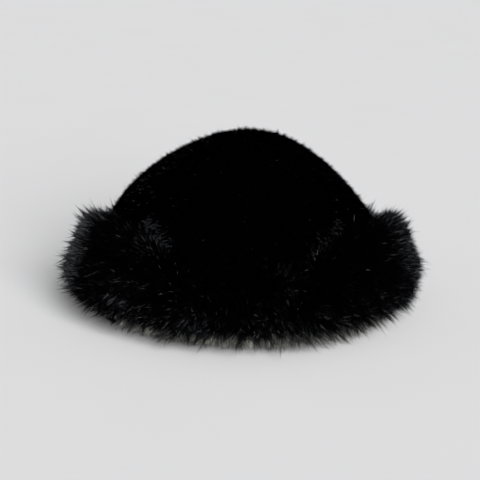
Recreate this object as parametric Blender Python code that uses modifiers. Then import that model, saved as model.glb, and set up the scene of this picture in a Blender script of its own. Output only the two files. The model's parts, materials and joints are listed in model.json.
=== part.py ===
# Fur ushanka, lying on a table with all its flaps turned up.
# A short-pile fur crown stands inside four long-pile flaps: at the front, over each ear and at the nape.
# Metres, +Z up. The hat's front faces -Y, and the origin is the middle of the footprint, on the table.

import math
import random
from collections import namedtuple

import bmesh
import bpy
from mathutils import Vector

# Driving sizes
FACETS = 64  # round the crown
LOCKS_PER_FACET = 2  # columns of locks on a flap to each facet of the crown
OVAL = 1.06  # a head is longer than it is wide
CROWN_WALL = 0.011  # short pile, backing, wadding and lining together
CROWN_EDGE_HEIGHT = 0.0060  # where the crown's lower edge stops, above the table
SEAT_GAP = 0.0006  # between a flap and the crown that it lies against
END_GAP_DEG = 0.16  # between two flaps, at each flap's end
OPENING_RADIUS = 0.0940  # half the width of the head opening
FLAP_LEDGE = CROWN_EDGE_HEIGHT - 0.0003  # the flap's fold under the crown's lower edge
FOOT_RADIUS = 0.1095  # where the fold leaves the table
FLAP_WAIST = 0.0265  # height at which a flap is widest
FLAP_SQUARENESS = 1.75  # 2 is an ellipse; more is fuller
EDGE_THICKNESS = 0.0026  # a flap at its upper edge
END_DROP = 0.05  # how much lower a flap is at its very end, as a share
END_THINNING = 0.32  # how much thinner it is there
END_TAPER = (1.0, 0.62, 0.36, 0.18, 0.07, 0.0)  # how much of both there is, column by column from the end
LOCK_LENGTH = 0.0125
LOCK_LENGTHS = (0.70, 1.15)  # the shortest and the longest lock, as shares of that
LOCK_SAG = (0.09, 0.45)  # the least and the most that a lock's tip drops, as shares of its length
LOCK_LEAN = 0.34  # the most that its tip leans to either side, as a share of its length
SHORT_LOCK = 0.60  # a lock at the table's height, as a share of one at the waist
UNEVEN = 0.26  # how far a lock's corners stray, as a share of their spacing
BARE_EDGE = 0.0018  # no lock grows nearer to the crown than this
BARE_FOOT = 0.0015  # nor lower than this
LOWEST_LOCK = 0.0006  # a lock's tip stays this far above the table
TUCK_HEIGHT = 0.0100  # below this the lowest locks are tucked in
LOCK_MARGIN_DEG = 0.32  # between a lock's tip and its flap's end
ONE_POINT = 1e-5  # corners nearer than this are merged
PILE_SEED = 11

FUR_ROWS = 9  # rows of locks from a flap's upper edge down to the table
SEAT_ROWS = 7  # rows of faces where a flap lies against the crown
FUR_STARTS = SEAT_ROWS + 3  # corners of a flap's section before its fur: the seat's, the ledge and the foot

# The crown's outer profile: its radius at each height, and how far the soft dome leans to +X there
CrownSection = namedtuple("CrownSection", "height radius sway")
CROWN_SECTIONS = (
    CrownSection(0.0060, 0.1065, 0.0),
    CrownSection(0.0200, 0.1073, 0.0),
    CrownSection(0.0350, 0.1073, 0.0),
    CrownSection(0.0520, 0.1054, 0.0003),
    CrownSection(0.0670, 0.0998, 0.0006),
    CrownSection(0.0840, 0.0870, 0.0008),
    CrownSection(0.0980, 0.0738, 0.0012),
    CrownSection(0.1090, 0.0612, 0.0016),
    CrownSection(0.1175, 0.0492, 0.0022),
    CrownSection(0.1240, 0.0372, 0.0028),
    CrownSection(0.1290, 0.0240, 0.0034),
    CrownSection(0.1313, 0.0118, 0.0038),
    CrownSection(0.1320, 0.0000, 0.0040),
)

# The flaps' upper edge and fullness, by bearing: 0 is the front, 90 is +X, 180 is the nape
EdgeSection = namedtuple("EdgeSection", "bearing crest fullness")
EDGE_SECTIONS = (
    EdgeSection(-180, 0.0550, 0.0236),
    EdgeSection(-150, 0.0525, 0.0232),
    EdgeSection(-112, 0.0530, 0.0230),
    EdgeSection(-92, 0.0605, 0.0236),
    EdgeSection(-76, 0.0700, 0.0236),
    EdgeSection(-60, 0.0765, 0.0230),
    EdgeSection(-44, 0.0735, 0.0236),
    EdgeSection(-32, 0.0640, 0.0236),
    EdgeSection(-22, 0.0530, 0.0226),
    EdgeSection(-10, 0.0580, 0.0234),
    EdgeSection(2, 0.0620, 0.0240),
    EdgeSection(12, 0.0590, 0.0236),
    EdgeSection(22, 0.0540, 0.0226),
    EdgeSection(34, 0.0640, 0.0236),
    EdgeSection(48, 0.0730, 0.0234),
    EdgeSection(62, 0.0740, 0.0230),
    EdgeSection(76, 0.0680, 0.0236),
    EdgeSection(92, 0.0600, 0.0238),
    EdgeSection(112, 0.0525, 0.0230),
    EdgeSection(150, 0.0520, 0.0232),
    EdgeSection(180, 0.0550, 0.0236),
)

# How far out the fur's tips lie at each height, before the oval
ReachSection = namedtuple("ReachSection", "height radius")
REACH_SECTIONS = (
    ReachSection(0.0000, 0.1190),
    ReachSection(0.0090, 0.1310),
    ReachSection(0.0190, 0.1392),
    ReachSection(0.0280, 0.1412),
    ReachSection(0.0410, 0.1372),
    ReachSection(0.0530, 0.1322),
    ReachSection(0.0650, 0.1262),
    ReachSection(0.0740, 0.1190),
    ReachSection(0.0900, 0.1110),
)

# Each flap runs over whole facets of the crown, counted from the front; tuck is how far its lowest locks
# stop short of the fur's reach
Flap = namedtuple("Flap", "name first_facet facets tuck")
FLAPS = (
    Flap("front_flap", -4, 8, 0.0),
    Flap("ear_flap_right", 4, 15, 0.0080),
    Flap("nape_flap", 19, 26, 0.0040),
    Flap("ear_flap_left", 45, 15, 0.0080),
)

Finish = namedtuple("Finish", "color roughness")
SHORT_PILE = Finish((0.006, 0.006, 0.007, 1.0), 0.85)
LONG_PILE = Finish((0.010, 0.010, 0.011, 1.0), 0.60)


def clear_scene():
    for obj in list(bpy.data.objects):
        bpy.data.objects.remove(obj)


def smooth_value(table, key, column, at):
    """Reads a column of a table at any place along its key column, on a smooth curve through the rows."""
    keys = [getattr(row, key) for row in table]
    values = [getattr(row, column) for row in table]
    at = min(max(at, keys[0]), keys[-1])
    left = max(i for i in range(len(keys) - 1) if keys[i] <= at)
    span = keys[left + 1] - keys[left]
    t = (at - keys[left]) / span

    def slope(i):
        before, after = max(i - 1, 0), min(i + 1, len(keys) - 1)
        return (values[after] - values[before]) / (keys[after] - keys[before])

    start, end = values[left], values[left + 1]
    return (
        start * (2 * t**3 - 3 * t**2 + 1)
        + end * (3 * t**2 - 2 * t**3)
        + span * slope(left) * (t**3 - 2 * t**2 + t)
        + span * slope(left + 1) * (t**3 - t**2)
    )


def crown_radius(height):
    return smooth_value(CROWN_SECTIONS, "height", "radius", height)


def crown_sway(height):
    return smooth_value(CROWN_SECTIONS, "height", "sway", height)


def on_hat(bearing, radius, height):
    """The point at this bearing and radius on the hat's oval, at this height."""
    return Vector((
        radius * math.sin(bearing) + crown_sway(height),
        -radius * math.cos(bearing) * OVAL,
        height,
    ))


def bearing_and_radius(point):
    across = point.x - crown_sway(point.z)
    along = -point.y / OVAL
    return math.atan2(across, along), math.hypot(across, along)


def material(name, finish):
    made = bpy.data.materials.new(name)
    made.use_nodes = True
    shader = made.node_tree.nodes["Principled BSDF"]
    shader.inputs["Base Color"].default_value = finish.color
    shader.inputs["Roughness"].default_value = finish.roughness
    shader.inputs["Metallic"].default_value = 0.0
    return made


def object_from(bm, name, finish, collection):
    mesh = bpy.data.meshes.new(name)
    bm.to_mesh(mesh)
    bm.free()
    mesh.materials.append(finish)
    obj = bpy.data.objects.new(name, mesh)
    collection.objects.link(obj)
    return obj


def build_crown(collection, finish):
    """A soft dome: the profile is turned round the axis, made oval and leaning, and given its padded wall."""
    bm = bmesh.new()
    profile = [bm.verts.new((0.0, -row.radius, row.height)) for row in CROWN_SECTIONS]
    edges = [bm.edges.new(pair) for pair in zip(profile, profile[1:])]
    bmesh.ops.spin(
        bm,
        geom=profile + edges,
        axis=(0, 0, 1),
        cent=(0, 0, 0),
        angle=2 * math.pi,
        steps=FACETS,
        use_merge=True,
    )
    bmesh.ops.remove_doubles(bm, verts=bm.verts, dist=ONE_POINT)
    for vert in bm.verts:
        bearing = math.atan2(vert.co.x, -vert.co.y)
        vert.co = on_hat(bearing, math.hypot(vert.co.x, vert.co.y), vert.co.z)
    bmesh.ops.recalc_face_normals(bm, faces=bm.faces)
    if sum(face.normal.z for face in bm.faces) < 0:
        bmesh.ops.reverse_faces(bm, faces=bm.faces)
    crown = object_from(bm, "crown", finish, collection)
    wall = crown.modifiers.new("padded wall", "SOLIDIFY")
    wall.thickness = CROWN_WALL
    wall.offset = -1.0
    crown.data.shade_smooth()
    return crown


def edge_at(bearing, end_share):
    """The height of a flap's upper edge and its fullness there; both shrink towards the flap's ends."""
    degrees = math.degrees(math.remainder(bearing, 2 * math.pi))
    crest = smooth_value(EDGE_SECTIONS, "bearing", "crest", degrees)
    fullness = smooth_value(EDGE_SECTIONS, "bearing", "fullness", degrees)
    return crest * (1 - END_DROP * end_share), fullness * (1 - END_THINNING * end_share)


def fur_point(crest, fullness, share):
    """The skin under the locks as (radius, height): share 0 is on the table and share 1 on the upper edge."""
    turn = math.pi * (share - 0.5)
    rise = math.copysign(abs(math.sin(turn)) ** (2 / FLAP_SQUARENESS), turn)
    swell = abs(math.cos(turn)) ** (2 / FLAP_SQUARENESS)
    height = FLAP_WAIST + (crest - FLAP_WAIST if rise > 0 else FLAP_WAIST) * rise
    thinnest = (FOOT_RADIUS - crown_radius(0)) * (1 - share) + EDGE_THICKNESS * share
    return crown_radius(height) + thinnest * (1 - swell) + fullness * swell, height


def flap_point(place, bearing, end_share):
    """A flap's cross-section by place: from its upper edge down the crown, under it, and up the fur."""
    crest, fullness = edge_at(bearing, end_share)
    if place <= SEAT_ROWS:
        height = crest + (FLAP_LEDGE - crest) * place / SEAT_ROWS
        return crown_radius(height) + SEAT_GAP, height
    if place < FUR_STARTS:
        return OPENING_RADIUS, FLAP_LEDGE if place == SEAT_ROWS + 1 else 0.0
    return fur_point(crest, fullness, (place - FUR_STARTS) / FUR_ROWS)


def flap_body(flap, chance):
    """The flap without its locks: a grid wrapped round the cross-section and closed at both ends."""
    columns = flap.facets * LOCKS_PER_FACET
    step = 2 * math.pi / FACETS / LOCKS_PER_FACET
    around = FUR_STARTS + FUR_ROWS + 1
    bm = bmesh.new()
    bmesh.ops.create_grid(bm, x_segments=columns, y_segments=around, size=0.5)
    for vert in bm.verts:
        column = round((vert.co.x + 0.5) * columns)
        place = round((vert.co.y + 0.5) * around) % around
        from_end = min(column, columns - column)
        end_share = END_TAPER[min(from_end, len(END_TAPER) - 1)]
        if from_end > 0 and FUR_STARTS < place < around - 1:
            column += chance.uniform(-UNEVEN, UNEVEN)
            place += chance.uniform(-UNEVEN, UNEVEN)
        bearing = (flap.first_facet * LOCKS_PER_FACET + column) * step
        bearing += math.radians(END_GAP_DEG) * ((column == 0) - (column == columns))
        radius, height = flap_point(place, bearing, end_share)
        vert.co = on_hat(bearing, radius, height)
    bmesh.ops.remove_doubles(bm, verts=bm.verts, dist=ONE_POINT)
    bmesh.ops.holes_fill(bm, edges=[edge for edge in bm.edges if edge.is_boundary])
    bmesh.ops.recalc_face_normals(bm, faces=bm.faces)
    return bm


def carries_fur(face):
    middle = face.calc_center_median()
    _, radius = bearing_and_radius(middle)
    off_the_crown = radius > crown_radius(middle.z) + BARE_EDGE
    return len(face.verts) == 4 and off_the_crown and middle.z > BARE_FOOT


def kept_in(point, flap):
    """Keeps a lock's tip over its own flap, above the table and within the fur's reach."""
    step = 2 * math.pi / FACETS
    middle = (flap.first_facet + flap.facets / 2) * step
    half = flap.facets / 2 * step - math.radians(LOCK_MARGIN_DEG)
    height = max(point.z, LOWEST_LOCK)
    bearing, radius = bearing_and_radius(point)
    offset = math.remainder(bearing - middle, 2 * math.pi)
    reach = smooth_value(REACH_SECTIONS, "height", "radius", height)
    reach -= flap.tuck * max(0.0, 1 - height / TUCK_HEIGHT)
    return on_hat(middle + min(max(offset, -half), half), min(radius, reach), height)


def comb_locks(bm, flap, chance):
    """Draws each fur-bearing face out to a lock with a tip that leans aside and sags."""
    for face in [face for face in bm.faces if carries_fur(face)]:
        height = face.calc_center_median().z
        share = min(1.0, SHORT_LOCK + (1 - SHORT_LOCK) * height / FLAP_WAIST)
        length = LOCK_LENGTH * share * chance.uniform(*LOCK_LENGTHS)
        outward = face.normal.copy()
        aside = outward.cross(Vector((0, 0, 1))).normalized() * chance.uniform(-LOCK_LEAN, LOCK_LEAN)
        sag = Vector((0, 0, -chance.uniform(*LOCK_SAG)))
        tip = bmesh.ops.poke(bm, faces=[face])["verts"][0]
        tip.co = kept_in(tip.co + (outward + aside + sag) * length, flap)


def build_flap(flap, collection, finish, chance):
    bm = flap_body(flap, chance)
    comb_locks(bm, flap, chance)
    return object_from(bm, flap.name, finish, collection)


def main():
    clear_scene()
    ushanka = bpy.data.collections.new("ushanka")
    bpy.context.scene.collection.children.link(ushanka)
    build_crown(ushanka, material("short pile fur", SHORT_PILE))
    long_pile = material("long pile fur", LONG_PILE)
    chance = random.Random(PILE_SEED)
    for flap in FLAPS:
        build_flap(flap, ushanka, long_pile, chance)


main()
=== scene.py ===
# %% [markdown]
# A black fur ushanka lies on a table with every flap turned up: a velvety dome in the middle, and round its
# foot a thick rim of long fur made of a brow flap, two ear flaps and a nape flap.
# The packed solids hold its real size and form. They are loaded first and stay where they are. Each one is
# then dressed: the dome gets a soft padded cloth and a short pile, and each flap a dense undercoat and long
# fur. All lengths are in metres, +Z is up, and the brow flap faces -Y.

# %% Load the packed solids
import json
import math

import bmesh
import bpy
import numpy as np
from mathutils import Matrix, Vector

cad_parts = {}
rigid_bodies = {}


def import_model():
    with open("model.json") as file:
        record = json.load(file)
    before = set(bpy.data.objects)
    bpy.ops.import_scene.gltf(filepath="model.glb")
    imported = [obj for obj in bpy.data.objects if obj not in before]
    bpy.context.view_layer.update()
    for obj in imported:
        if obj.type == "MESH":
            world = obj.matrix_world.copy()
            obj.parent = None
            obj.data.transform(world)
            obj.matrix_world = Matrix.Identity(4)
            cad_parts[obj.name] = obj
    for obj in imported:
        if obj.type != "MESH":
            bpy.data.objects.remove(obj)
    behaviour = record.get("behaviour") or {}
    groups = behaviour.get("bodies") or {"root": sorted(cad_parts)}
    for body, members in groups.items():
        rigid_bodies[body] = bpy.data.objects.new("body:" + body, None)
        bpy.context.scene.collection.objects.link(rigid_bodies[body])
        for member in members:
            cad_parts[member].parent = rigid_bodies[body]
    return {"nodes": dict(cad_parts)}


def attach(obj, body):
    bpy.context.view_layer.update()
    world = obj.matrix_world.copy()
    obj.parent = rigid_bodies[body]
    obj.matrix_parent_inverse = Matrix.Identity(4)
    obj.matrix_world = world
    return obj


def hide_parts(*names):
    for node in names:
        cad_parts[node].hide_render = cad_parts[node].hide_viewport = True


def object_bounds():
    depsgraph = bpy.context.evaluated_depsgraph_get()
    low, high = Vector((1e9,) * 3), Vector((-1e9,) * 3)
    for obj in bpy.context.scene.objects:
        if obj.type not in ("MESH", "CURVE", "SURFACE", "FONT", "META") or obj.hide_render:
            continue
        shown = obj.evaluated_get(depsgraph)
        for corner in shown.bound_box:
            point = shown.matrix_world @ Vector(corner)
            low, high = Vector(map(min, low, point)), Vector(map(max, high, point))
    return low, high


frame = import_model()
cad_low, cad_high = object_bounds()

MM = 0.001
print("solids:", sorted(frame["nodes"]))
print("the hat is", [round(side / MM, 1) for side in cad_high - cad_low], "mm")

# %% [markdown]
# The camera comes before any piece, so that each one can be looked at as it is made.
# The photograph is taken from the hat's front, a little over a metre away and about 15 degrees above the
# table. A long lens keeps the rim's near and far sides almost equally wide, as they are there.

# %% Place the camera
VIEW_DISTANCE = 1.15
VIEW_ELEVATION = math.radians(15.5)
PICTURE_WIDTH = 0.3768  # how much the picture takes in across, at the hat
AIM = Vector((-1.4 * MM, 0.0, 48.5 * MM))


def place_camera():
    camera = bpy.data.cameras.new("camera")
    camera.lens = camera.sensor_width * VIEW_DISTANCE / PICTURE_WIDTH
    holder = bpy.data.objects.new("camera", camera)
    bpy.context.scene.collection.objects.link(holder)
    back = Vector((0.0, -math.cos(VIEW_ELEVATION), math.sin(VIEW_ELEVATION)))
    holder.location = AIM + back * VIEW_DISTANCE
    holder.rotation_euler = (-back).to_track_quat("-Z", "Y").to_euler()
    bpy.context.scene.camera = holder
    return camera


print("lens:", round(place_camera().lens, 1), "mm")

# %% [markdown]
# Materials are node trees, and most of their nodes do one small job. These helpers put a node in a tree, set
# its inputs to a value or link them to another node, and name what comes out, so that a recipe reads from top
# to bottom. The tree that grows the hair is built with them too.

# %% Helpers for node trees
def put(tree, kind, inputs=None, **settings):
    """Adds a node, applies its settings, and sets or links each input by its name or number."""
    made = tree.nodes.new(kind)
    for name, value in settings.items():
        setattr(made, name, value)
    for key, value in (inputs or {}).items():
        if isinstance(value, bpy.types.NodeSocket):
            tree.links.new(value, made.inputs[key])
        else:
            made.inputs[key].default_value = value
    return made


def maths(tree, operation, *values):
    node = put(tree, "ShaderNodeMath", dict(enumerate(values)), operation=operation)
    return node.outputs[0]


def share_between(tree, value, low, high):
    """0 below low, 1 above high, and a smooth rise between. With low above high, it falls."""
    node = put(tree, "ShaderNodeMapRange", {"Value": value, "From Min": low, "From Max": high})
    node.interpolation_type = "SMOOTHSTEP"
    return node.outputs["Result"]


def mixed(tree, share, first, second):
    node = put(tree, "ShaderNodeMix", {"Factor": share}, data_type="RGBA")
    for socket, color in ((node.inputs[6], first), (node.inputs[7], second)):
        if isinstance(color, bpy.types.NodeSocket):
            tree.links.new(color, socket)
        else:
            socket.default_value = color
    return node.outputs[2]


def object_place(tree):
    return put(tree, "ShaderNodeTexCoord").outputs["Object"]


def finish_named(name, roughness, specular):
    """A new material: its tree and its shader, with the values that are the same all over."""
    material = bpy.data.materials.new(name)
    material.use_nodes = True
    shader = material.node_tree.nodes["Principled BSDF"]
    shader.inputs["Roughness"].default_value = roughness
    shader.inputs["Specular IOR Level"].default_value = specular
    return material, material.node_tree, shader


print("helpers:", *(helper.__name__ for helper in (put, maths, share_between, mixed, finish_named)))

# %% [markdown]
# Black fur is the darkest thing that a hat can be made of: light that goes in between the hairs hardly comes
# out. What shows is a painted glint, pale grey painted on a few hairs where they catch the light, mostly at
# the hat's sides, at its back and along its hem. Near the table the fur is a thin fringe that the pale table
# shines through, and that light is painted on its hairs as a pale olive between its tufts.
# A pattern over the whole piece would smear across single hairs. So a hair's color follows two numbers that
# it carries in its UV map. U is its tint: from 0 for the blackest to nearly 0.5 for a painted glint, the last
# of it bright, and above that the fringe, from black to the painted light of the table shining through. V is
# how far along the hair a point is.

# %% Finish of the long fur
HAIR_MAP = "OFBake"
JET = (0.0004, 0.0004, 0.0006, 1.0)
SOOT = (0.0007, 0.0007, 0.0009, 1.0)
GLINT_COLOR = (0.100, 0.104, 0.116, 1.0)
BRIGHT_GLINT_COLOR = (0.340, 0.345, 0.358, 1.0)
TABLE_SHINE_THROUGH = (0.930, 0.935, 0.830, 1.0)
GLINT_FROM = 0.490  # the tint above which a hair gets a painted glint where it catches the light
GLINT_ENDS = 0.5
BRIGHT_GLINT_FROM = 0.4982  # the tint above which its painted glint is brighter
BRIGHT_GLINT_FULL = 0.4995
FRINGE_FROM = 0.52  # the tint from which a hair belongs to the thin fringe, painted pale as the table shining through it


def hair_numbers(tree):
    """The tint of the hair and the way along it."""
    hair_map = put(tree, "ShaderNodeUVMap", uv_map=HAIR_MAP).outputs[0]
    numbers = put(tree, "ShaderNodeSeparateXYZ", {0: hair_map}).outputs
    return numbers["X"], numbers["Y"]


def long_fur_finish():
    material, tree, shader = finish_named("long_fur", roughness=0.5, specular=0.008)
    tint, along = hair_numbers(tree)
    black = mixed(tree, share_between(tree, along, 0.2, 1.0), JET, SOOT)
    # painted glint: pale grey on the outer part of a few hairs, standing for the light that they catch
    catches = share_between(tree, tint, GLINT_FROM, GLINT_ENDS)
    catches = maths(tree, "MULTIPLY", catches, maths(tree, "LESS_THAN", tint, GLINT_ENDS))
    outer_half = share_between(tree, along, 0.52, 0.75)
    short_of_tip = share_between(tree, along, 1.08, 0.82)
    glint = maths(tree, "MULTIPLY", outer_half, short_of_tip)
    silver = mixed(tree, share_between(tree, tint, BRIGHT_GLINT_FROM, BRIGHT_GLINT_FULL), GLINT_COLOR, BRIGHT_GLINT_COLOR)
    color = mixed(tree, maths(tree, "MULTIPLY", catches, glint), black, silver)
    # painted shine-through: fringe hairs are painted pale past the root, as the table's light shining through
    past_root = share_between(tree, along, 0.1, 0.4)
    thin = maths(tree, "MULTIPLY", past_root, share_between(tree, tint, FRINGE_FROM, 1.0))
    tree.links.new(mixed(tree, thin, color, TABLE_SHINE_THROUGH), shader.inputs["Base Color"])
    return material


LONG_FUR = long_fur_finish()
print("finish:", LONG_FUR.name)

# %% [markdown]
# Under the long hairs the skin is covered with felted down, which has no gloss and is seen only as depth. Its
# fine grain could be an image, but a noise pattern has no seams: it makes the felt a little darker and paler,
# and the same noise raises it as a bump. The lining's weave is made in the same way, so a helper does both.

# %% Finish of the undercoat
FELT = ((0.0001, 0.0001, 0.0001, 1.0), (0.0004, 0.0004, 0.0005, 1.0))


def color_and_raise(tree, shader, pattern, colors, strength, depth):
    """Colors a surface from the first color to the second as a pattern goes, and raises it as a bump."""
    tree.links.new(mixed(tree, pattern, *colors), shader.inputs["Base Color"])
    bump = put(tree, "ShaderNodeBump", {"Height": pattern, "Strength": strength, "Distance": depth})
    tree.links.new(bump.outputs["Normal"], shader.inputs["Normal"])


def undercoat_finish():
    material, tree, shader = finish_named("undercoat", roughness=0.95, specular=0.003)
    inputs = {"Vector": object_place(tree), "Scale": 900.0, "Detail": 3.0}
    grain = put(tree, "ShaderNodeTexNoise", inputs).outputs["Fac"]
    color_and_raise(tree, shader, grain, FELT, strength=0.6, depth=0.8 * MM)
    return material


UNDERCOAT = undercoat_finish()
print("finish:", UNDERCOAT.name)

# %% [markdown]
# The crown is shorn to a velvety pile, which swallows even more light than the long fur. Only beside the
# flaps' upper edges some of its hairs catch a little, and that is painted on them as a pale grey glint. It
# reads the same map as the long fur, but needs only the painted glint, which grows towards the tips.

# %% Finish of the crown's short pile
PILE_BLACK = (0.00006, 0.00006, 0.0001, 1.0)
PILE_GLINT_COLOR = (0.120, 0.124, 0.138, 1.0)
PILE_GLINT_FROM = 0.4975
PILE_GLINT_FULL = 0.4995


def short_pile_finish():
    material, tree, shader = finish_named("short_pile", roughness=0.6, specular=0.001)
    tint, along = hair_numbers(tree)
    # painted glint on the pile, growing towards the tips
    catches = share_between(tree, tint, PILE_GLINT_FROM, PILE_GLINT_FULL)
    color = mixed(tree, maths(tree, "MULTIPLY", catches, along), PILE_BLACK, PILE_GLINT_COLOR)
    tree.links.new(color, shader.inputs["Base Color"])
    return material


SHORT_PILE = short_pile_finish()
print("finish:", SHORT_PILE.name)

# %% [markdown]
# Inside, the crown is lined with a smooth dark cloth. Its weft runs level round the head, so a wave pattern
# across the height gives both its faint stripes and their bump.

# %% Finish of the lining
LINING_CLOTH = ((0.0060, 0.0060, 0.0068, 1.0), (0.0140, 0.0140, 0.0155, 1.0))


def lining_finish():
    material, tree, shader = finish_named("lining", roughness=0.55, specular=0.3)
    inputs = {"Vector": object_place(tree), "Scale": 700.0, "Distortion": 0.4}
    weft = put(tree, "ShaderNodeTexWave", inputs, bands_direction="Z").outputs["Fac"]
    color_and_raise(tree, shader, weft, LINING_CLOTH, strength=0.3, depth=0.2 * MM)
    return material


LINING = lining_finish()
print("finish:", LINING.name)

# %% [markdown]
# The crown is a padded dome: fur cloth outside, wadding, and the lining inside, all turned in at the rim.
# It could be lathed again from its profile, but the packed solid already is that dome, so a copy of it is
# welded, its triangles are paired back to quads, and it is subdivided until no facet shows. Two soft bulges
# then fill out its left shoulder and its top.

# %% Make the padded crown
CROWN_MIDDLE = Vector((0.0, 0.0, 40 * MM))
BULGES = (
    # where it is, how far it reaches and how much it stands out
    ((-84 * MM, 0.0, 86 * MM), 42 * MM, 4.8 * MM),
    ((12 * MM, 0.0, 132 * MM), 45 * MM, 1.2 * MM),
)
WELD = 0.01 * MM
FLAT_PAIR = math.radians(25)  # how far two paired triangles may be bent against each other
SQUARE_PAIR = math.radians(60)  # how far the quad's corners may be from square


def add_piece(name, mesh, *materials):
    mesh.materials.clear()
    for material in materials:
        mesh.materials.append(material)
    piece = bpy.data.objects.new(name, mesh)
    bpy.context.scene.collection.objects.link(piece)
    return piece


def welded_copy(node):
    """A copy of a packed solid's mesh, with its loose triangles joined at their corners."""
    bm = bmesh.new()
    bm.from_mesh(frame["nodes"][node].data)
    bmesh.ops.remove_doubles(bm, verts=bm.verts, dist=WELD)
    return bm


def plain_mesh(piece):
    """Gives the piece the mesh that its modifiers make, and then removes them."""
    graph = bpy.context.evaluated_depsgraph_get()
    shown = piece.evaluated_get(graph)
    mesh = bpy.data.meshes.new_from_object(shown, preserve_all_data_layers=True, depsgraph=graph)
    piece.modifiers.clear()
    piece.data = mesh


def triangles(piece):
    piece.data.calc_loop_triangles()
    return len(piece.data.loop_triangles)


def make_crown():
    bm = welded_copy("crown")
    pairs = {"angle_face_threshold": FLAT_PAIR, "angle_shape_threshold": SQUARE_PAIR}
    bmesh.ops.join_triangles(bm, faces=bm.faces, **pairs)
    mesh = bpy.data.meshes.new("crown_cloth")
    bm.to_mesh(mesh)
    bm.free()
    crown = add_piece("crown_cloth", mesh, UNDERCOAT, LINING)
    smooth = crown.modifiers.new("soft", "SUBSURF")
    smooth.levels = smooth.render_levels = 2
    plain_mesh(crown)
    for corner in crown.data.vertices:
        away = (corner.co - CROWN_MIDDLE).normalized()
        for place, reach, height in BULGES:
            distance = (corner.co - Vector(place)).length
            corner.co += away * height * math.exp(-((distance / reach) ** 2))
    for face in crown.data.polygons:
        face.use_smooth = True
        if face.normal.dot(face.center - CROWN_MIDDLE) < 0:
            face.material_index = 1
    return crown


crown = make_crown()
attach(crown, "root")
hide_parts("crown")
print("crown:", triangles(crown), "triangles")

# %% [markdown]
# A flap's hide has thousands of corners. A loop could take them one by one, but it would be slow, so their
# places and normals are kept as arrays, and each helper works on all of them at once.
# The hat is longer than it is wide. Ways outward and reaches are therefore measured as on an oval, which
# makes one table of sizes fit it all round.

# %% Tools for working on many places at once
OVAL = (cad_high - cad_low).y / (cad_high - cad_low).x


def mesh_arrays(mesh):
    """The places and normals of a mesh's corners, a row each."""
    places = np.empty(len(mesh.vertices) * 3, np.float32)
    mesh.vertices.foreach_get("co", places)
    normals = np.empty(len(mesh.vertices) * 3, np.float32)
    mesh.vertex_normals.foreach_get("vector", normals)
    return places.reshape(-1, 3).astype(float), normals.reshape(-1, 3).astype(float)


def unit(vectors):
    return vectors / np.maximum(np.linalg.norm(vectors, axis=1, keepdims=True), 1e-9)


def rising(value, start, span):
    """0 up to the start, 1 from a span beyond it, and a straight rise between."""
    return np.clip((value - start) / span, 0, 1)


def outward_from_crown(places):
    """The level direction away from the middle of the oval hat, at each place."""
    return unit(np.column_stack((places[:, 0], places[:, 1] / OVAL**2, np.zeros(len(places)))))


def reach_of(places):
    """How far out each place is, as the oval hat's level reach to its side."""
    return np.hypot(places[:, 0], places[:, 1] / OVAL)


print("the hat is", round(float(OVAL), 3), "times as long as it is wide")

# %% [markdown]
# A flap is a strip of fur hide folded up against the crown. Under its long hairs lies a dense undercoat,
# which nothing shines through. The packed flap has that form, with its locks drawn out of it. Remeshing a
# copy of it in small cubes melts the locks down to a soft lumpy body. It is then drawn in under the locks,
# lifted off the table where only the fringe should reach, and melted once more, which mends any fold.

# %% Make each flap's undercoat
FLAPS = ("front_flap", "ear_flap_left", "ear_flap_right", "nape_flap")
UNDERCOAT_CELL = 2.4 * MM
SIDE_DEPTH = 12.0 * MM  # how far the undercoat lies under the locks on the flap's outer side
TOP_DEPTH = 6.0 * MM
SHOULDER_HOLD = 0.8  # how much less it is drawn in on the shoulder between side and top, as a share
FOOT = 108 * MM  # the level reach inside which it comes down to the table
FOOT_SPAN = 8 * MM
FRINGE_ROOM = 13.5 * MM  # its height above the table from there out


def melt(piece, smoothing):
    """Remeshes the piece in small cubes and smooths it, which melts its locks or mends folds."""
    cubes = piece.modifiers.new("cubes", "REMESH")
    cubes.mode = "VOXEL"
    cubes.voxel_size = UNDERCOAT_CELL
    soft = piece.modifiers.new("soften", "SMOOTH")
    soft.factor = 0.5
    soft.iterations = smoothing
    plain_mesh(piece)


def make_undercoat(flap):
    bm = welded_copy(flap)
    mesh = bpy.data.meshes.new(flap + "_hide")
    bm.to_mesh(mesh)
    bm.free()
    hide = add_piece(flap + "_hide", mesh, UNDERCOAT)
    melt(hide, smoothing=8)
    places, normals = mesh_arrays(hide.data)
    facing = np.clip((normals * outward_from_crown(places)).sum(1), 0, 1)
    up = np.clip(normals[:, 2], 0, 1)
    depth = np.maximum(SIDE_DEPTH * facing, TOP_DEPTH * up) * (1 - SHOULDER_HOLD * facing * up)
    places -= normals * depth[:, None]
    outside = rising(reach_of(places), FOOT, FOOT_SPAN)
    places[:, 2] = np.maximum(places[:, 2], FRINGE_ROOM * outside)
    hide.data.vertices.foreach_set("co", places.astype(np.float32).ravel())
    melt(hide, smoothing=4)
    hide.data.shade_smooth()
    return hide


hides = {flap: make_undercoat(flap) for flap in FLAPS}
for flap, hide in hides.items():
    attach(hide, "root")
    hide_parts(flap)
    print(hide.name, triangles(hide), "triangles")
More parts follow.
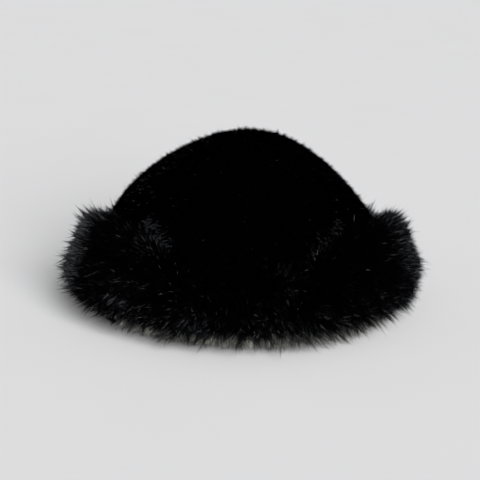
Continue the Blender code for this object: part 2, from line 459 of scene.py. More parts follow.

# %% [markdown]
# Hair is what makes this hat. It could be a particle system, but those hairs are drawn only by the renderer.
# A Geometry Nodes tree makes real ones: points are strewn over the skin, and on each stands a narrow blade,
# one straight triangle that tapers to the hair's tip. Bent blades would follow a hair's curve, but the eye
# reads fur by how many hairs there are, so the triangles are better spent on more of them.
# The skin tells the tree four things at every corner: where hairs grow, which way they leave, how long they
# are, and how many of them get a painted glint where they catch the light. The sizes below are those of the
# flaps' fur.

# %% The sizes and maps that the hair follows
HAIR_INPUTS = {
    "Hairs per m2": 1.0e6,
    "Tufts per m2": 2.0e5,
    "Hair width": 0.36 * MM,
    "Tuft pull": 0.96,  # how far a hair is drawn onto its tuft's axis
    "Tuft lean": 0.32,  # how far an axis leans aside by lot
    "Hair lean": 0.20,
    "Shortest tuft": 0.70,  # as a share of the length on the skin's map
    "Longest tuft": 1.36,
    "Shortest hair": 0.68,  # as a share of its strand
    "Tuft point": 0.55,  # the share of their length that the hairs furthest from the axis lose
    "Free hairs": 0.16,  # the share of hairs that hardly follow a tuft
    "Fringe height": 36 * MM,
    "Lit patches": 4.0,  # how strongly the skin's map of painted glints bends the hairs' lots towards a painted glint
}
SKIN_MAPS = ("cover", "comb", "length", "lit")
print("hair follows", len(HAIR_INPUTS), "sizes and the skin's maps of", SKIN_MAPS)

# %% [markdown]
# A tree this large is hard to follow node by node. So a class gives each kind of node a short name, and the
# steps that build the tree then read like a recipe. These are the nodes that read values and work with them.

# %% Read and work out values in a tree
class ValueTree:
    """A Geometry Nodes tree in the making. Its methods name what is read and worked out."""

    def __init__(self, name):
        self.tree = bpy.data.node_groups.new(name, "GeometryNodeTree")
        self.place = self.put("GeometryNodeInputPosition").outputs[0]

    def put(self, kind, inputs=None, **settings):
        return put(self.tree, kind, inputs, **settings)

    def maths(self, operation, *values):
        return maths(self.tree, operation, *values)

    def times(self, value, share):
        return self.maths("MULTIPLY", value, share)

    def left_of_one(self, value):
        return self.maths("SUBTRACT", 1.0, value)

    def share_between(self, value, low, high):
        return share_between(self.tree, value, low, high)

    def vectors(self, operation, *values):
        inputs = dict(enumerate(values))
        return self.put("ShaderNodeVectorMath", inputs, operation=operation).outputs[0]

    def scaled(self, vector, share):
        inputs = {0: vector, "Scale": share}
        return self.put("ShaderNodeVectorMath", inputs, operation="SCALE").outputs[0]

    def between(self, first, second, share):
        """The place that lies this share of the way from the first to the second."""
        return self.vectors("ADD", first, self.scaled(self.vectors("SUBTRACT", second, first), share))

    def distance(self, first, second):
        node = self.put("ShaderNodeVectorMath", {0: first, 1: second}, operation="DISTANCE")
        return node.outputs["Value"]

    def parts(self, vector):
        return self.put("ShaderNodeSeparateXYZ", {0: vector}).outputs

    def joined(self, x, y, z=0.0):
        return self.put("ShaderNodeCombineXYZ", {0: x, 1: y, 2: z}).outputs[0]

    def number(self, name, data_type="FLOAT"):
        """A number that is stored on the mesh under this name."""
        return self.put("GeometryNodeInputNamedAttribute", {"Name": name}, data_type=data_type).outputs[0]

    def vector(self, name):
        return self.number(name, "FLOAT_VECTOR")

    def noise(self, scale, detail):
        inputs = {"Vector": self.place, "Scale": scale, "Detail": detail}
        return self.put("ShaderNodeTexNoise", inputs).outputs["Fac"]


print("values:", [name for name in vars(ValueTree) if not name.startswith("_")])

# %% [markdown]
# Nothing about fur is regular, so nearly every size is drawn by lot. One seed for all draws would tie them to
# each other, and a long hair would always be a wide one too. So each draw makes its own from the piece's
# seed, and the hat still comes out the same each time. The points that hairs stand on are strewn by lot too,
# as densely as the skin's map says.

# %% Draw lots, store values and strew points
class HairTree(ValueTree):
    """The tree that grows hair on a skin."""

    def __init__(self):
        super().__init__("grow hair")
        self.lots = 0
        self.socket("Geometry", "NodeSocketGeometry")
        for name, value in HAIR_INPUTS.items():
            self.socket(name, "NodeSocketFloat").default_value = value
        self.socket("Seed", "NodeSocketInt")
        self.socket("Finish", "NodeSocketMaterial")
        self.socket("Geometry", "NodeSocketGeometry", in_out="OUTPUT")
        self.given = self.put("NodeGroupInput").outputs

    def socket(self, name, kind, in_out="INPUT"):
        return self.tree.interface.new_socket(name, in_out=in_out, socket_type=kind)

    def next_seed(self):
        self.lots += 1
        return self.maths("ADD", self.given["Seed"], 100 * self.lots)

    def chance(self, low, high):
        """A number by lot between the two, each as likely as the next."""
        inputs = {2: low, 3: high, "Seed": self.next_seed()}
        return self.put("FunctionNodeRandomValue", inputs, data_type="FLOAT").outputs[1]

    def rarely(self, least, most, power):
        """A number by lot that is mostly near the least and seldom near the most."""
        share = self.maths("POWER", self.chance(0.0, 1.0), power)
        return self.maths("ADD", least, self.times(share, self.maths("SUBTRACT", most, least)))

    def any_direction(self):
        inputs = {0: (-1.0, -1.0, -1.0), 1: (1.0, 1.0, 1.0), "Seed": self.next_seed()}
        return self.put("FunctionNodeRandomValue", inputs, data_type="FLOAT_VECTOR").outputs[0]

    def keep(self, geometry, name, value, data_type="FLOAT_VECTOR", domain="POINT"):
        """Stores a value on the geometry under this name."""
        inputs = {"Geometry": geometry, "Name": name, "Value": value}
        settings = {"data_type": data_type, "domain": domain}
        return self.put("GeometryNodeStoreNamedAttribute", inputs, **settings).outputs[0]

    def strewn(self, per_m2):
        """Points over the skin, where its map lets hair grow."""
        density = self.times(per_m2, self.number("cover"))
        inputs = {"Mesh": self.given["Geometry"], "Density": density, "Seed": self.next_seed()}
        node = self.put("GeometryNodeDistributePointsOnFaces", inputs, distribute_method="RANDOM")
        return node.outputs["Points"]


hair = HairTree()
print("hair tree:", len(hair.given) - 1, "inputs")

# %% [markdown]
# Fur doesn't stand hair by hair: it falls in pointed tufts. So a first, sparser set of points is strewn, one
# for each tuft's axis. A strand leaves its root the way the skin is combed, with a lean of its own, and is as
# long as the skin's map says, give or take. One that would run into the table is cut about there, but not all
# at the same height, so that the fringe has no hard edge.

# %% The tufts' axes
TABLE_GAP = 0.4 * MM  # the height at which a strand counts as touching the table
LEAST_SINKING = 0.01  # keeps a level or rising hair from being measured against the table
CUT_AT_TABLE = (0.75, 1.5, 3.0)  # least and most share of the way to the table, and how rare the most is
LONG_TUFTS_ARE_RARE = 2.5


def strand(hair, lean, reach):
    """The tip of a strand, and the direction in which it leaves its root."""
    aside = hair.scaled(hair.any_direction(), lean)
    away = hair.vectors("NORMALIZE", hair.vectors("ADD", hair.vector("comb"), aside))
    length = hair.times(hair.number("length"), reach)
    over_table = hair.maths("SUBTRACT", hair.parts(hair.place)["Z"], TABLE_GAP)
    sinking = hair.times(hair.parts(away)["Z"], -1.0)
    room = hair.maths("DIVIDE", over_table, hair.maths("MAXIMUM", sinking, LEAST_SINKING))
    length = hair.maths("MINIMUM", length, hair.times(room, hair.rarely(*CUT_AT_TABLE)))
    return hair.vectors("ADD", hair.place, hair.scaled(away, length)), away


def tuft_axes(hair):
    """Points for the tufts' axes, each with its tip stored."""
    reach = hair.rarely(hair.given["Shortest tuft"], hair.given["Longest tuft"], LONG_TUFTS_ARE_RARE)
    tip, _ = strand(hair, hair.given["Tuft lean"], reach)
    return hair.keep(hair.strewn(hair.given["Tufts per m2"]), "axis_tip", tip)


axes = tuft_axes(hair)
print("with the tufts:", len(hair.tree.nodes), "nodes")

# %% [markdown]
# A hair draws its tint by lot. Where the skin's map asks for a painted glint, and in soft patches beyond
# that, the lot is bent towards a painted glint. Low down the hair belongs to the fringe instead, unless it
# has a
# painted glint: there the light of the table shining through is painted on it, the paler the further it
# stands from its tuft's axis, more in some clumps than in others, so that dark tufts stand out.

# %% The hairs' tints
FRINGE_FULL = 10 * MM  # below this height the fringe is full, and it fades out up to the fringe height given
GLINT_PATCHES = (28.0, 1.0, 0.60, 0.75)  # the noise's scale and detail, and where a patch of painted glint starts and is full
CLUMPS = (130.0, 0.0, 0.42, 0.58)
DULLEST_CLUMP = 0.45  # what even the darkest clump keeps of its paleness
UNLIT_BEND = 0.45  # the lot's bend where no glint is painted: below 1 towards black, above 1 towards a painted glint
LEAST_FRINGE = 0.02  # how much fringe there has to be for a hair to belong to it
PALE_FROM = 0.10  # the distance from the axis, in tufts, where hairs start to be painted pale by the table shining through
PALEST_AT = 0.70
PALENESS = (0.55, 1.3)  # by lot, what a hair's paleness is multiplied by
BARELY = 0.001  # lifts the darkest fringe hair over the limit where the fringe's tints start


def cloudy(hair, scale, detail, low, high):
    return hair.share_between(hair.noise(scale, detail), low, high)


def hair_tint(hair, gap):
    """The hair's tint, with its painted glint and painted shine-through. The gap is its distance from its
    tuft's axis, where 1 is a whole tuft.
    """
    height = hair.parts(hair.place)["Z"]
    fringe = hair.share_between(height, hair.given["Fringe height"], FRINGE_FULL)
    # painted glint: the skin's map and soft noise patches bend the lot towards it
    lit = hair.maths("ADD", cloudy(hair, *GLINT_PATCHES), hair.number("lit"))
    lit = hair.times(lit, hair.given["Lit patches"])
    bend = hair.maths("DIVIDE", 1.0, hair.maths("ADD", UNLIT_BEND, lit))
    lot = hair.maths("POWER", hair.chance(0.0, 1.0), bend)
    clump = hair.maths("ADD", cloudy(hair, *CLUMPS), DULLEST_CLUMP)
    # painted shine-through: the table's light painted pale on fringe hairs away from their tuft's axis
    pale = hair.times(hair.share_between(gap, PALE_FROM, PALEST_AT), hair.chance(*PALENESS))
    pale = hair.times(hair.maths("MINIMUM", hair.times(pale, clump), 1.0), fringe)
    is_low = hair.maths("GREATER_THAN", fringe, LEAST_FRINGE)
    is_black = hair.maths("LESS_THAN", lot, GLINT_FROM / GLINT_ENDS)
    in_fringe = hair.times(is_low, is_black)
    own = hair.times(hair.left_of_one(in_fringe), hair.times(lot, GLINT_ENDS))
    pale = hair.maths("ADD", hair.times(pale, 1.0 - FRINGE_FROM), FRINGE_FROM + BARELY)
    return hair.maths("ADD", own, hair.times(in_fringe, pale))


print("a hair is silver from a lot of", GLINT_FROM / GLINT_ENDS)

# %% [markdown]
# Then the hairs are strewn. Each starts as a strand of its own, and all but a few free ones are drawn onto
# the axis of the nearest tuft. They end at different lengths, and those far from the axis are shorter, which
# gives the tuft its taper.

# %% The hairs' roots and tips
HAIR_REACH = (0.85, 1.1)  # by lot, a strand's length as a share of the map's
PULLED = (0.8, 1.0)  # by lot, the share of the tuft's pull that reaches a hair
FREEDOM = 0.8  # the share of its pull that a free hair is spared
HALF_WIDTH = (0.35, 0.65)  # by lot, half a hair's width at its root as a share of the width given


def hair_roots(hair, axes):
    """Points for the hairs, each with its root, its tip, the way to its side and its tint stored."""
    nearest = hair.put("GeometryNodeSampleNearest", {"Geometry": axes, "Sample Position": hair.place})

    def of_tuft(value):
        inputs = {"Geometry": axes, "Value": value, "Index": nearest.outputs[0]}
        return hair.put("GeometryNodeSampleIndex", inputs, data_type="FLOAT_VECTOR").outputs[0]

    tip, away = strand(hair, hair.given["Hair lean"], hair.chance(*HAIR_REACH))
    free = hair.maths("LESS_THAN", hair.chance(0.0, 1.0), hair.given["Free hairs"])
    pull = hair.times(hair.given["Tuft pull"], hair.chance(*PULLED))
    pull = hair.times(pull, hair.left_of_one(hair.times(free, FREEDOM)))
    tip = hair.between(tip, of_tuft(hair.vector("axis_tip")), pull)
    tuft_size = hair.maths("SQRT", hair.given["Tufts per m2"])
    gap = hair.times(hair.distance(hair.place, of_tuft(hair.place)), tuft_size)
    loss = hair.times(hair.maths("MINIMUM", gap, 1.0), hair.given["Tuft point"])
    reach = hair.times(hair.chance(hair.given["Shortest hair"], 1.0), hair.left_of_one(loss))
    tip = hair.between(hair.place, tip, reach)
    across = hair.vectors("NORMALIZE", hair.vectors("CROSS_PRODUCT", away, hair.any_direction()))
    across = hair.scaled(across, hair.times(hair.given["Hair width"], hair.chance(*HALF_WIDTH)))
    tint = hair_tint(hair, gap)
    points = hair.strewn(hair.given["Hairs per m2"])
    for name, value in (("root", hair.place), ("tip", tip), ("across", across)):
        points = hair.keep(points, name, value)
    return hair.keep(points, "tint", tint, "FLOAT")


roots = hair_roots(hair, axes)
print("with the hairs:", len(hair.tree.nodes), "nodes")

# %% [markdown]
# The blade is a grid of one face whose far corners are brought together. A copy of it stands on every root,
# and its corners are then sent to that hair's root, a little to both sides, and to its tip. Placing each
# corner, instead of turning and scaling the blade, lets the lowest ones be held just over the table. A paler
# hair is held a little higher, so that not all of them lie in one plane.
# Last the tint and the way along are written to the hair's map. A fringe hair loses its painted shine-through
# further up, and the tint differs a little from side to side, which gives each hair's place on the map a
# width.

# %% Finish the tree
TIPS_MEET = 0.001  # corners of the blade that are closer than this are joined
LIFT = 1.2 * MM  # a hair's corners stay this far over the table, times its tint and the least lift together
LEAST_LIFT = 0.3
PALE_BELOW = 4 * MM  # the height below which the fringe's painted shine-through is as pale as it gets
BLACK_ABOVE = 21 * MM
MAP_WIDTH = 0.0002  # what is added to the tint on one side of a hair's root and taken off on the other
HAIR_VALUES = ("root", "tip", "across", "aside", "along", "tint")


def blade(hair):
    """A triangle, with the way along it and the way to its side stored at its corners."""
    inputs = {"Size X": 2.0, "Size Y": 1.0, "Vertices X": 2, "Vertices Y": 2}
    face = hair.put("GeometryNodeMeshGrid", inputs).outputs["Mesh"]
    flat = hair.parts(hair.place)
    along = hair.maths("ADD", flat["Y"], 0.5)
    tapered = hair.joined(hair.times(flat["X"], hair.left_of_one(along)), along)
    face = hair.put("GeometryNodeSetPosition", {"Geometry": face, "Position": tapered}).outputs[0]
    face = hair.put("GeometryNodeMergeByDistance", {"Geometry": face, "Distance": TIPS_MEET}).outputs[0]
    shaped = hair.parts(hair.place)
    face = hair.keep(face, "along", shaped["Y"], "FLOAT")
    return hair.keep(face, "aside", shaped["X"], "FLOAT")


def corner_place(hair):
    """Where a blade's corner goes: to the root or the tip, to its side, and never into the table."""
    along = hair.number("along")
    place = hair.scaled(hair.vector("root"), hair.left_of_one(along))
    place = hair.vectors("ADD", place, hair.scaled(hair.vector("tip"), along))
    place = hair.vectors("ADD", place, hair.scaled(hair.vector("across"), hair.number("aside")))
    parts = hair.parts(place)
    lowest = hair.times(hair.maths("ADD", hair.number("tint"), LEAST_LIFT), LIFT)
    return hair.joined(parts["X"], parts["Y"], hair.maths("MAXIMUM", parts["Z"], lowest))


def map_numbers(hair):
    """The hair's tint at this place and how far along it the place is."""
    height = hair.parts(hair.place)["Z"]
    high = hair.left_of_one(hair.share_between(height, BLACK_ABOVE, PALE_BELOW))
    tint = hair.number("tint")
    paleness = hair.maths("MAXIMUM", hair.maths("SUBTRACT", tint, FRINGE_FROM + BARELY), 0.0)
    tint = hair.maths("SUBTRACT", tint, hair.times(paleness, high))
    tint = hair.maths("ADD", tint, hair.times(hair.number("aside"), MAP_WIDTH))
    return hair.joined(tint, hair.number("along"))


def finish_tree(hair, roots):
    inputs = {"Points": roots, "Instance": blade(hair)}
    standing = hair.put("GeometryNodeInstanceOnPoints", inputs).outputs[0]
    coat = hair.put("GeometryNodeRealizeInstances", {"Geometry": standing}).outputs[0]
    inputs = {"Geometry": coat, "Position": corner_place(hair)}
    coat = hair.put("GeometryNodeSetPosition", inputs).outputs[0]
    coat = hair.keep(coat, HAIR_MAP, map_numbers(hair), "FLOAT2", "CORNER")
    for name in (*HAIR_VALUES, *SKIN_MAPS):
        coat = hair.put("GeometryNodeRemoveAttribute", {"Geometry": coat, "Name": name}).outputs[0]
    inputs = {"Geometry": coat, "Material": hair.given["Finish"]}
    hair.put("NodeGroupOutput", {0: hair.put("GeometryNodeSetMaterial", inputs).outputs[0]})
    return hair.tree


HAIR_TREE = finish_tree(hair, roots)
print("hair tree:", len(HAIR_TREE.nodes), "nodes")

# %% [markdown]
# The helper below writes the four maps on a copy of a skin, runs the tree, and keeps the result as a plain
# mesh. A piece could be given a number of hairs per area, but a budget of triangles for all of it is safer,
# because its file can hold only so many. The number per area follows from how much of the skin is covered.

# %% Grow hair on a skin
def write_map(mesh, name, values):
    vector = values.ndim == 2
    layer = mesh.attributes.new(name, "FLOAT_VECTOR" if vector else "FLOAT", "POINT")
    layer.data.foreach_set("vector" if vector else "value", values.astype(np.float32).ravel())


def covered_area(mesh, cover):
    """The area on which hair grows, with thinly covered places counted in part."""
    total = 0.0
    for face in mesh.polygons:
        total += face.area * float(np.mean([cover[corner] for corner in face.vertices]))
    return total


def grow(name, skin, maps, budget, finish, **sizes):
    """Grows hair on a skin. Sizes that aren't given stay as the tree has them, and a hair is one triangle."""
    mesh = skin.data.copy()
    for key, values in maps.items():
        write_map(mesh, key, values)
    coat = add_piece(name, mesh, finish)
    modifier = coat.modifiers.new("grow hair", "NODES")
    modifier.node_group = HAIR_TREE
    area = covered_area(mesh, maps["cover"])
    inputs = {**HAIR_INPUTS, **sizes, "Hairs per m2": budget / area, "Finish": finish}
    for socket in HAIR_TREE.interface.items_tree:
        if socket.in_out == "INPUT" and socket.name in inputs:
            modifier[socket.identifier] = inputs[socket.name]
    plain_mesh(coat)
    print(name, triangles(coat), "triangles on", round(area * 1e4), "cm2")
    return coat


print("inputs:", [socket.name for socket in HAIR_TREE.interface.items_tree if socket.in_out == "INPUT"])

# %% [markdown]
# On a flap the hairs stand off the hide: up along its upper edge, out to the side at its fullest place, and
# down and out near the table, where they fan out into a fringe. One lie for the whole flap would make a brush
# of it, so a table gives the hairs' lie for each way that the hide faces.

# %% Which way the hairs on a flap point
HAIR_LIE = (
    # the way the hide faces and the way its hairs point there, in degrees above level
    (-90, -50),
    (-45, -38),
    (-15, -20),
    (0, -6),
    (20, 8),
    (45, 28),
    (65, 46),
    (80, 60),
    (95, 72),
    (130, 90),
)
DROOP = 19  # how many degrees lower the hairs hang at the front and back, near the table
DROOP_ENDS = 46 * MM  # the height where that has faded out
SIDE_SPREAD = 0.8  # how far the hairs follow the hide as it turns to the side


def hair_ways(places, normals, outward):
    """The way in which the hair leaves the hide at each place."""
    facing = (normals * outward).sum(1)
    faces = np.degrees(np.arctan2(normals[:, 2], facing))
    low = 1 - rising(places[:, 2], 0, DROOP_ENDS)
    droop = DROOP * np.abs(outward[:, 1]) * np.sqrt(low)
    lie = np.radians(np.interp(faces, *zip(*HAIR_LIE)) - droop)
    level = normals * np.array((1, 1, 0)) - outward * facing[:, None]
    comb = outward * np.cos(lie)[:, None] + SIDE_SPREAD * level
    comb[:, 2] = np.sin(lie)
    return unit(comb)


print("where the hide faces out, its hairs point", dict(HAIR_LIE)[0], "degrees from level")

# %% [markdown]
# How long the hairs are follows from the fur's outer form: a hair can grow until its tip leaves it. One table
# gives that form by height, up to the tips over a flap's upper edge, and a second one bends it in and out
# round the hat, because the rim isn't as full on every side. The table top ends it below.

# %% The fur's outer form
def in_metres(rows):
    """Rows of sizes that are given in mm."""
    return [tuple(size * MM for size in row) for row in rows]


FUR_FORM = in_metres((
    # height and level reach of the longest tips in mm, on a flap whose tips end at FORM_TOP
    (0, 124),
    (3, 134),
    (6, 142),
    (13, 147),
    (28, 148),
    (41, 142.5),
    (53, 136),
    (65, 133),
    (71, 130),
    (74, 123),
))
FORM_TURNS = (
    # bearing in degrees, and how many mm further out the tips reach: at the table, the waist and the top
    (-180, 0, 0, 0),
    (-115, -1, 0, 2),
    (-90, -6, -1, 3),
    (-75, -14, 0, 0),
    (-35, -17, 0, 0),
    (-12, -9, 0, 0),
    (5, 9, 0, 0),
    (25, 18, 0, 0),
    (45, 6, 0, 0),
    (65, 3, 0, 0),
    (90, -12, 1, 4),
    (115, -2, 0, 3),
    (180, 0, 0, 0),
)
FORM_WAIST = 28 * MM
FORM_SHOULDER = 54 * MM
FORM_TOP = 74 * MM
CREST_HAIR = 14 * MM  # how far the tips stand over the hide's upper edge
CREST_BEARINGS = np.radians(np.arange(-180, 181, 3))
CREST_SPAN = math.radians(4)  # the edge's height is read this far to each side of each bearing
AIM_BELOW = 7 * MM  # how far below the table top a low hair may be aimed. The tree ends it at the table
LONGEST_HAIR = 30  # in steps of 1 mm
print("the fur is fullest", max(reach for _, reach in FUR_FORM) / MM, "mm from the middle")

# %% [markdown]
# A hair's length could be worked out from the form, but its curve makes that a hard sum. Taking small steps
# along the hairs until they come out of the form is simple. A flap's upper edge isn't level, so its height is
# read round the hat first, and the form is stretched up to it.

# %% How long the hairs are
def bearing_of(places):
    """The way round the oval hat to each place, 0 in front and positive to the photo's right."""
    return np.arctan2(places[:, 0], -places[:, 1] / OVAL)


def crest_over(places):
    """Height at which the tips end over each place: a little over the hide's upper edge at that bearing."""
    bearing = bearing_of(places)
    edge = []
    for middle in CREST_BEARINGS:
        near = np.cos(bearing - middle) > math.cos(CREST_SPAN)
        edge.append(places[near, 2].max(initial=0))
    return np.interp(bearing, CREST_BEARINGS, edge) + CREST_HAIR


def room_for_hair(places, comb, crest):
    """How long a hair can be before its tip leaves the fur's outer form."""
    stretch = (FORM_TOP - FORM_WAIST) / (crest - FORM_WAIST)
    bearing = np.degrees(bearing_of(places))
    turns, *further = zip(*FORM_TURNS)
    at_table, at_waist, at_top = (np.interp(bearing, turns, sizes) for sizes in in_metres(further))
    length = np.zeros(len(places))
    inside = np.ones(len(places), bool)
    for step in range(1, LONGEST_HAIR + 1):
        tip = places + comb * (step * MM)
        height = tip[:, 2]
        height = np.where(height > FORM_WAIST, FORM_WAIST + (height - FORM_WAIST) * stretch, height)
        inside &= (height > -AIM_BELOW) & (height < FORM_TOP)
        low = 1 - rising(height, 0, FORM_WAIST)
        high = rising(height, FORM_SHOULDER, FORM_TOP - FORM_SHOULDER)
        turned = at_table * low + at_waist * (1 - low - high) + at_top * high
        inside &= reach_of(tip) < np.interp(height, *zip(*FUR_FORM)) + turned
        length += inside * MM
    return length


places, _ = mesh_arrays(hides["front_flap"].data)
print("the front flap's tips end", round(float(crest_over(places).max()) / MM), "mm up at most")

# %% [markdown]
# Black fur shows its form by the few places where it catches the light: a lock at the front, the slanting
# edges where the ear flaps meet the crown, the sides, the back and the hem. Lamps alone can't draw them on
# hairs this dark, so these highlights are painted: a map says where the hairs get a painted glint.

# %% Where the painted glints go
FUR_GLINT_PLACES = in_metres((
    # where the long fur gets a painted glint, and how far round, in mm
    (-32, -132, 22, 14),
    (-84, -104, 22, 20),
    (-62, -90, 70, 9),
    (-70, -80, 78, 9),
    (48, -98, 60, 8),
    (60, -84, 70, 8),
    (27, -120, 50, 7),
))
PILE_GLINT_PLACES = in_metres((
    # where the crown's pile gets a painted glint, just over the flaps' upper edge
    (-69, -62, 80, 4),
    (-66, -69, 76, 5),
    (-60, -78, 72, 5),
    (-54, -86, 68, 4),
    (70, -62, 80, 3),
    (67, -71, 75, 3),
    (62, -79, 71, 3),
    (57, -85, 69, 3),
    (52, -90, 65, 3),
))
FUR_GLINT_STRENGTH = 3.0  # how strongly each kind of painted glint bends the hairs' lots towards it
PILE_GLINT_STRENGTH = 30.0
LEFT_SIDE_GLINT = 11.0
RIGHT_SIDE_GLINT = 2.6
BACK_GLINT = 4.0
HEM_GLINT = 5.6
CROWN_SHARE = 0.12  # what the crown's pile gets of the painted glint at the sides and the back
SIDE_FROM = 0.90  # how far across the hat faces where its sides start to get a painted glint
SIDE_SPAN = 0.08
BACK_SPAN = 0.5  # how far behind the hat faces where its back's painted glint is full


def painted_glint_map(places, lit_places):
    """1 at a place with a painted glint, and less round it."""
    lit = np.zeros(len(places))
    for *middle, width in lit_places:
        distance = np.linalg.norm(places - np.array(middle), axis=1)
        lit = np.maximum(lit, np.exp(-((distance / width) ** 2)))
    return lit


def painted_rim_glint(outward):
    """How strong the painted glint is on the hat's two sides and its back."""
    across, behind = outward[:, 0], outward[:, 1]
    side = np.where(across < 0, LEFT_SIDE_GLINT, RIGHT_SIDE_GLINT)
    side = side * rising(np.abs(across), SIDE_FROM, SIDE_SPAN)
    return np.maximum(side, BACK_GLINT * rising(behind, 0, BACK_SPAN))


print("lit places:", len(FUR_GLINT_PLACES), "on the fur and", len(PILE_GLINT_PLACES), "on the pile")

# %% [markdown]
# With these maps the flaps get their fur. None grows where a flap lies against the crown or on the fold that
# it stands on, because nobody sees it there and its hairs would come out through the crown. Each flap has a
# budget and tufts of its own: the right ear flap is finer and more even than the left one, and the front one
# is small.

# %% Fur on the flaps
SHORTEST_HAIR = 5 * MM
HEM_TOP = 34 * MM  # the hem is the fur below this height
HEM_GROWTH = 0.4  # how much longer its lowest hairs are in front, as a share
FACES_IN = -0.30  # no hair grows where the hide faces in more than this
FACES_IN_SPAN = 0.4  # from there it grows denser over this span
FACES_DOWN = -0.9  # nor does any grow where the hide faces down more than this
FACES_DOWN_SPAN = 0.35
FOOT_COVER = 0.6  # how dense the fur is at the table, as a share of its density at the waist
FUR_PLAN = {
    # the budget of triangles, how many tufts per m2, and the shortest and longest tuft as shares of the room
    "front_flap": (85_000, 1.7e5, 0.68, 1.34),
    "ear_flap_left": (180_000, 1.9e5, 0.69, 1.38),
    "ear_flap_right": (180_000, 2.5e5, 0.75, 1.22),
    "nape_flap": (190_000, 1.9e5, 0.68, 1.36),
}


def flap_maps(flap, hide):
    places, normals = mesh_arrays(hide.data)
    outward = outward_from_crown(places)
    comb = hair_ways(places, normals, outward)
    length = np.maximum(room_for_hair(places, comb, crest_over(places)), SHORTEST_HAIR)
    low = 1 - rising(places[:, 2], 0, HEM_TOP)
    length *= 1 + HEM_GROWTH * low * np.clip(-outward[:, 1], 0, 1) ** 2
    facing = (normals * outward).sum(1)
    cover = rising(facing, FACES_IN, FACES_IN_SPAN) * rising(normals[:, 2], FACES_DOWN, FACES_DOWN_SPAN)
    cover *= FOOT_COVER + (1 - FOOT_COVER) * rising(places[:, 2], 0, FORM_WAIST)
    # painted glints: at the listed places, on the sides and back, and along the hem
    lit = np.maximum(FUR_GLINT_STRENGTH * painted_glint_map(places, FUR_GLINT_PLACES), painted_rim_glint(outward))
    lit = np.maximum(lit, HEM_GLINT * low)
    spread = [round(float(np.percentile(length, share)) / MM, 1) for share in (5, 50, 95)]
    print(flap, "hair:", spread, "mm")
    return {"comb": comb, "cover": cover, "length": length, "lit": lit}


for number, flap in enumerate(FLAPS):
    budget, tufts, shortest, longest = FUR_PLAN[flap]
    sizes = {"Tufts per m2": tufts, "Shortest tuft": shortest, "Longest tuft": longest, "Seed": 20 + number}
    fur = grow(flap + "_fur", hides[flap], flap_maps(flap, hides[flap]), budget, LONG_FUR, **sizes)
    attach(fur, "root")
    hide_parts(flap)

# %% [markdown]
# The crown's pile is short and close, and lies smoothed down from the top towards the rim. It could be a
# sheen on the cloth, but then the dome's edge would be too clean. The same tree grows it, from a little under
# the flaps' upper edge, where it disappears behind their fur.

# %% Pile on the crown
PILE_HAIR = 5.0 * MM
PILE_LIT_GROWTH = 0.4  # how much longer it is at the places with a painted glint, as a share
PILE_STARTS = 42 * MM  # height where the flaps begin to hide it
PILE_FADES = 4 * MM
PILE_STANDS = 0.5  # how much a hair points off the cloth, against how much down along it
PILE_LIES = 0.8
PILE_BUDGET = 180_000
PILE_SIZES = {
    "Tufts per m2": 1.5e5,
    "Hair width": 0.26 * MM,
    "Tuft pull": 0.75,
    "Tuft lean": 0.70,
    "Hair lean": 0.60,
    "Shortest tuft": 0.75,
    "Longest tuft": 1.8,
    "Shortest hair": 0.5,
    "Tuft point": 0.0,
    "Free hairs": 0.3,
    "Fringe height": 11 * MM,
    "Seed": 40,
}


def crown_maps(crown):
    places, normals = mesh_arrays(crown.data)
    outside = ((places - np.array(CROWN_MIDDLE)) * normals).sum(1) > 0
    down = -np.array((0, 0, 1.0)) + normals * normals[:, 2:3]
    comb = PILE_STANDS * normals + PILE_LIES * down
    cover = outside * rising(places[:, 2], PILE_STARTS, PILE_FADES)
    # painted glint on the pile: at its listed places, and a share of the sides' and back's
    lit = painted_glint_map(places, PILE_GLINT_PLACES)
    length = PILE_HAIR * (1 + PILE_LIT_GROWTH * lit)
    lit = np.maximum(PILE_GLINT_STRENGTH * lit, CROWN_SHARE * painted_rim_glint(outward_from_crown(places)))
    return {"comb": unit(comb), "cover": cover.astype(float), "length": length, "lit": lit}


pile = grow("crown_pile", crown, crown_maps(crown), PILE_BUDGET, SHORT_PILE, **PILE_SIZES)
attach(pile, "root")
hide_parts("crown")

# %% [markdown]
# The hat lies on a plain pale table. A large soft light comes from rather low in front and a little from the
# right, so that the front of the rim casts no dark band, and the shadow is only a faint grey on the table
# behind and to the left. A white tent all round fills the rest.

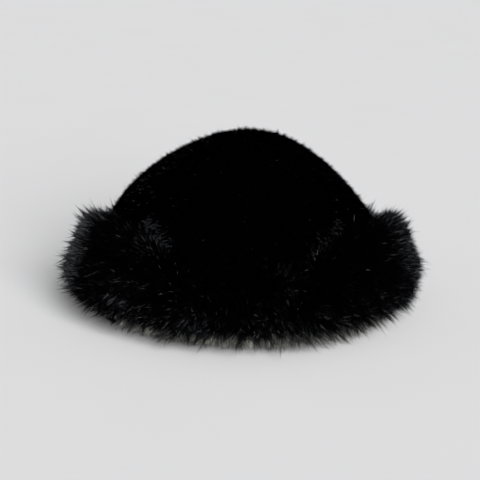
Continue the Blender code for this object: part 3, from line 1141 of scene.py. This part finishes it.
# %% Table and light
TABLE_SIDE = 14.0
TABLE_COLOR = (0.80, 0.80, 0.81, 1.0)
TABLE_CLOUDS = 1.03  # how much paler its pale clouds are
TENT_LIGHT = 0.18
KEY_STRENGTH = 5.15
KEY_WIDTH = math.radians(38)  # how wide the light is in the sky, which is what softens the shadow
KEY_PLACE = Vector((0.36, -1.1, 0.56))


def lay_table():
    mesh = bpy.data.meshes.new("table")
    bm = bmesh.new()
    bmesh.ops.create_grid(bm, x_segments=1, y_segments=1, size=TABLE_SIDE / 2)
    bm.to_mesh(mesh)
    bm.free()
    material, tree, shader = finish_named("table", roughness=0.95, specular=0.04)
    inputs = {"Vector": object_place(tree), "Scale": 9.0, "Detail": 2.0}
    cloud = put(tree, "ShaderNodeTexNoise", inputs).outputs["Fac"]
    paler = tuple(min(1.0, part * TABLE_CLOUDS) for part in TABLE_COLOR[:3]) + (1.0,)
    tree.links.new(mixed(tree, cloud, TABLE_COLOR, paler), shader.inputs["Base Color"])
    add_piece("table", mesh, material)


def light_scene():
    world = bpy.data.worlds.new("tent")
    world.use_nodes = True
    sky = world.node_tree.nodes["Background"]
    sky.inputs["Color"].default_value = (1.0, 1.0, 1.0, 1.0)
    sky.inputs["Strength"].default_value = TENT_LIGHT
    bpy.context.scene.world = world
    key = bpy.data.lights.new("key", "SUN")
    key.energy = KEY_STRENGTH
    key.angle = KEY_WIDTH
    holder = bpy.data.objects.new("key", key)
    holder.location = KEY_PLACE
    holder.rotation_euler = (-KEY_PLACE).to_track_quat("-Z", "Y").to_euler()
    bpy.context.scene.collection.objects.link(holder)
    return holder


lay_table()
height = math.degrees(math.asin(KEY_PLACE.normalized().z))
print(light_scene().name, "light:", round(height), "degrees above the table")
bpy.context.scene.view_settings.view_transform = "Standard"

# %% [markdown]
# Last, the triangles of every added piece are counted and printed.

# %% Count the added triangles
ADDED = ("_fur", "_hide", "_pile", "_cloth")
added = {piece.name: triangles(piece) for piece in bpy.data.objects if piece.name.endswith(ADDED)}
print("added:", added, "in all", sum(added.values()))
